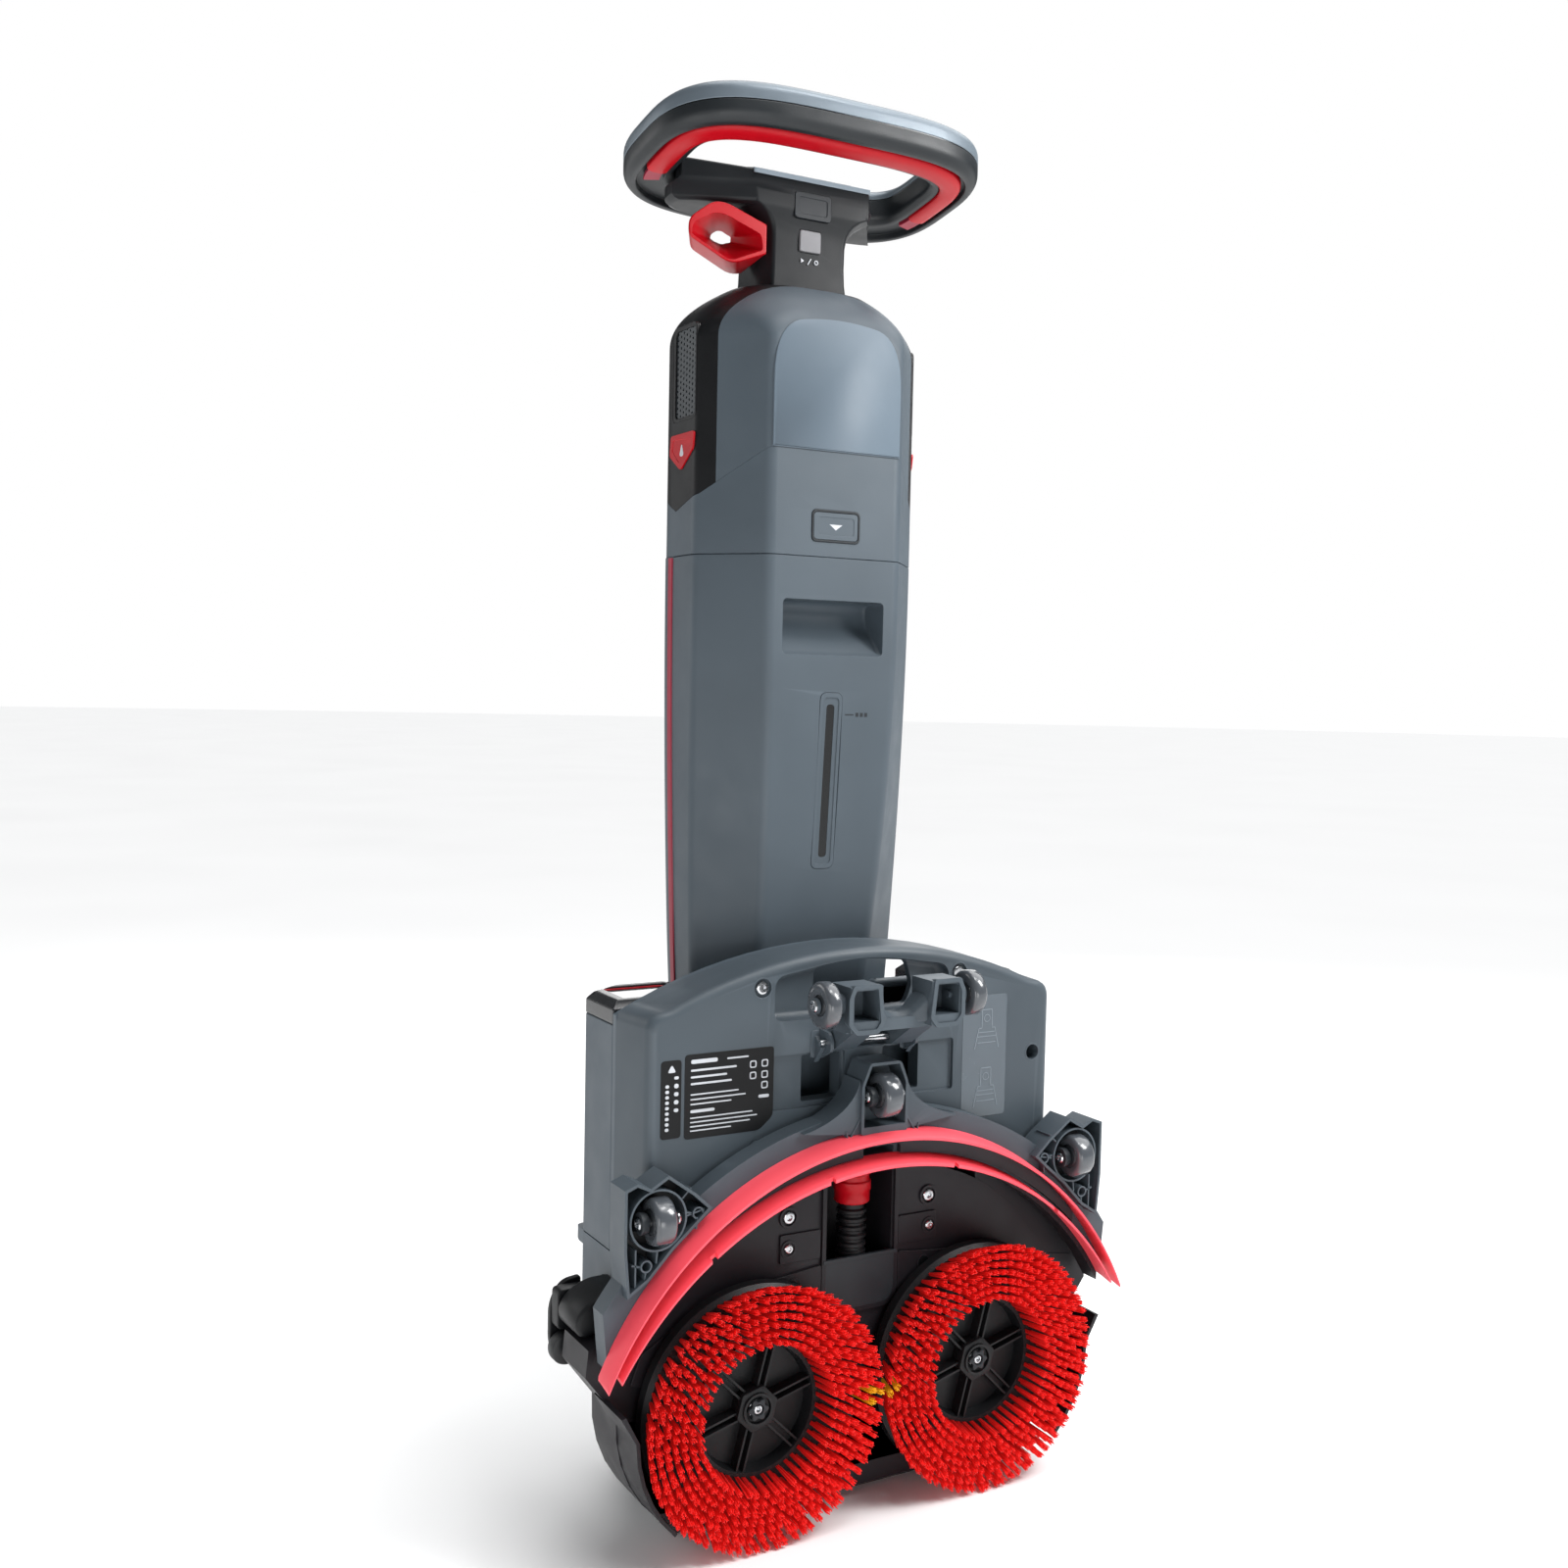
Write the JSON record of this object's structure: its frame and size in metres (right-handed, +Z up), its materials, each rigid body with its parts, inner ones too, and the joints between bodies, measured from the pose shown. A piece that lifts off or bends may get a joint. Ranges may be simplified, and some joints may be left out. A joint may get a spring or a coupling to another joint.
{
  "type": "wet dry floor scrubber",
  "caption": "Compact upright floor scrubber with counter-rotating disc brushes, an arched squeegee, transport wheels, a tilting tank column and a loop handle.",
  "frame": {"origin": "on the standing surface, below the centre of the bounding box", "axes": "+Z up along the column, +X across the machine with the hook on the -X side, -Y towards the brushes and the underside of the base"},
  "size_m": [0.468, 0.2746, 1.0953],
  "materials": {
    "grey_plastic": "satin",
    "black_plastic": "satin",
    "dark_plastic": "matte",
    "gloss_black": "gloss",
    "red_plastic": "satin",
    "red_bristle": "nylon bristle",
    "blade_rubber": "matte",
    "wheel_rubber": "satin",
    "steel": "zinc plated",
    "aluminium": "extruded",
    "silver_button": "satin",
    "smoked_window": "smoked",
    "circuit_board": "solder mask",
    "motor_steel": "plated"
  },
  "bodies": {
    "base": {"base_cover": "grey_plastic", "chassis": "grey_plastic", "waste_tank": "grey_plastic", "battery_case": "grey_plastic", "battery_pack": "dark_plastic", "vacuum_motor": "motor_steel", "water_pump": "dark_plastic", "control_board": "circuit_board", "brush_deck": "black_plastic", "deck_cover": "black_plastic", "left_brush_motor": "motor_steel", "right_brush_motor": "motor_steel", "left_bumper": "grey_plastic", "right_bumper": "grey_plastic", "suction_hose": "black_plastic"},
    "waste_lid": {"waste_tank_lid": "gloss_black"},
    "battery_cover": {"battery_lid": "gloss_black"},
    "left_brush": {"left_brush_disc": "black_plastic", "left_brush_bristles": "red_bristle", "left_drive_shaft": "steel"},
    "right_brush": {"right_brush_disc": "black_plastic", "right_brush_bristles": "red_bristle", "right_drive_shaft": "steel"},
    "squeegee": {"squeegee_frame": "grey_plastic", "front_blade": "blade_rubber", "rear_blade": "blade_rubber", "suction_channel": "dark_plastic", "hose_cuff": "red_plastic"},
    "left_roller": {"left_squeegee_roller": "wheel_rubber"},
    "right_roller": {"right_squeegee_roller": "wheel_rubber"},
    "middle_roller": {"middle_squeegee_roller": "wheel_rubber"},
    "bracket": {"wheel_bracket": "grey_plastic"},
    "left_wheel": {"left_transport_wheel": "wheel_rubber"},
    "right_wheel": {"right_transport_wheel": "wheel_rubber"},
    "left_guide_roller": {"left_bumper_roller": "wheel_rubber"},
    "right_guide_roller": {"right_bumper_roller": "wheel_rubber"},
    "column": {"column_back_shell": "grey_plastic", "spine_tube": "aluminium", "tilt_yoke": "dark_plastic", "left_red_stripe": "red_plastic", "right_red_stripe": "red_plastic", "column_collar": "grey_plastic", "head_cover": "grey_plastic", "head_back_shell": "black_plastic", "left_speaker_grille": "dark_plastic", "right_speaker_grille": "dark_plastic", "left_side_badge": "red_plastic", "right_side_badge": "red_plastic", "handle_core": "black_plastic", "handle_cover": "grey_plastic", "handle_neck": "black_plastic", "display_screen": "gloss_black", "hanging_hook": "red_plastic"},
    "water_tank": {"clean_water_tank": "grey_plastic", "level_window": "smoked_window", "tank_top_plate": "dark_plastic"},
    "release": {"release_button": "dark_plastic"},
    "power": {"power_button": "dark_plastic"},
    "mode": {"mode_button": "silver_button"},
    "trigger": {"trigger_bar": "red_plastic"}
  },
  "joints": [
    {"name": "column_tilt", "type": "hinge", "parent": "base", "child": "column", "pos_m": [0, 0.07325, 0.25], "axis": [-1, 0, 0], "range_deg": [0, 80]},
    {"name": "left_brush_spin", "type": "hinge", "parent": "base", "child": "left_brush", "pos_m": [-0.101, -0.11675, 0.1006], "axis": [0, 1, 0], "continuous": true},
    {"name": "right_brush_spin", "type": "hinge", "parent": "base", "child": "right_brush", "pos_m": [0.101, -0.11675, 0.1006], "axis": [0, 1, 0], "continuous": true},
    {"name": "squeegee_float", "type": "slide", "parent": "base", "child": "squeegee", "axis": [0, 1, 0], "range_m": [0, 0.005], "stiffness_N_per_m": 900},
    {"name": "left_roller_spin", "type": "hinge", "parent": "squeegee", "child": "left_roller", "pos_m": [-0.189, -0.10375, 0.259], "axis": [1, 0, 0], "continuous": true},
    {"name": "right_roller_spin", "type": "hinge", "parent": "squeegee", "child": "right_roller", "pos_m": [0.189, -0.10375, 0.259], "axis": [1, 0, 0], "continuous": true},
    {"name": "middle_roller_spin", "type": "hinge", "parent": "squeegee", "child": "middle_roller", "pos_m": [0, -0.10375, 0.3295], "axis": [1, 0, 0], "continuous": true},
    {"name": "bracket_fold", "type": "hinge", "parent": "base", "child": "bracket", "pos_m": [0, -0.08175, 0.369], "axis": [-1, 0, 0], "range_deg": [0, 30]},
    {"name": "left_wheel_spin", "type": "hinge", "parent": "bracket", "child": "left_wheel", "pos_m": [-0.065, -0.11975, 0.4065], "axis": [1, 0, 0], "continuous": true},
    {"name": "right_wheel_spin", "type": "hinge", "parent": "bracket", "child": "right_wheel", "pos_m": [0.065, -0.11975, 0.4065], "axis": [1, 0, 0], "continuous": true},
    {"name": "left_guide_spin", "type": "hinge", "parent": "base", "child": "left_guide_roller", "pos_m": [-0.222, -0.11675, 0.14], "axis": [0, 1, 0], "continuous": true},
    {"name": "right_guide_spin", "type": "hinge", "parent": "base", "child": "right_guide_roller", "pos_m": [0.222, -0.11675, 0.14], "axis": [0, 1, 0], "continuous": true},
    {"name": "waste_lid_hinge", "type": "hinge", "parent": "base", "child": "waste_lid", "pos_m": [-0.149, 0.05225, 0.3838], "axis": [-1, 0, 0], "range_deg": [0, 100]},
    {"name": "battery_lid_hinge", "type": "hinge", "parent": "base", "child": "battery_cover", "pos_m": [0.149, 0.05225, 0.3838], "axis": [-1, 0, 0], "range_deg": [0, 100]},
    {"name": "water_tank_tilt", "type": "hinge", "parent": "column", "child": "water_tank", "pos_m": [0, 0.06625, 0.279], "axis": [1, 0, 0], "range_deg": [0, 6]},
    {"name": "release_press", "type": "slide", "parent": "column", "child": "release", "axis": [0, 1, 0], "range_m": [0, 0.003], "stiffness_N_per_m": 400},
    {"name": "power_press", "type": "slide", "parent": "column", "child": "power", "axis": [0, 1, 0], "range_m": [0, 0.0015], "stiffness_N_per_m": 500},
    {"name": "mode_press", "type": "slide", "parent": "column", "child": "mode", "axis": [0, 1, 0], "range_m": [0, 0.0015], "stiffness_N_per_m": 500},
    {"name": "trigger_squeeze", "type": "slide", "parent": "column", "child": "trigger", "axis": [0, -1, 0], "range_m": [0, 0.003], "stiffness_N_per_m": 1200}
  ],
  "couplings": [
    {"joint": "right_brush_spin", "follows": "left_brush_spin", "ratio": -1}
  ]
}
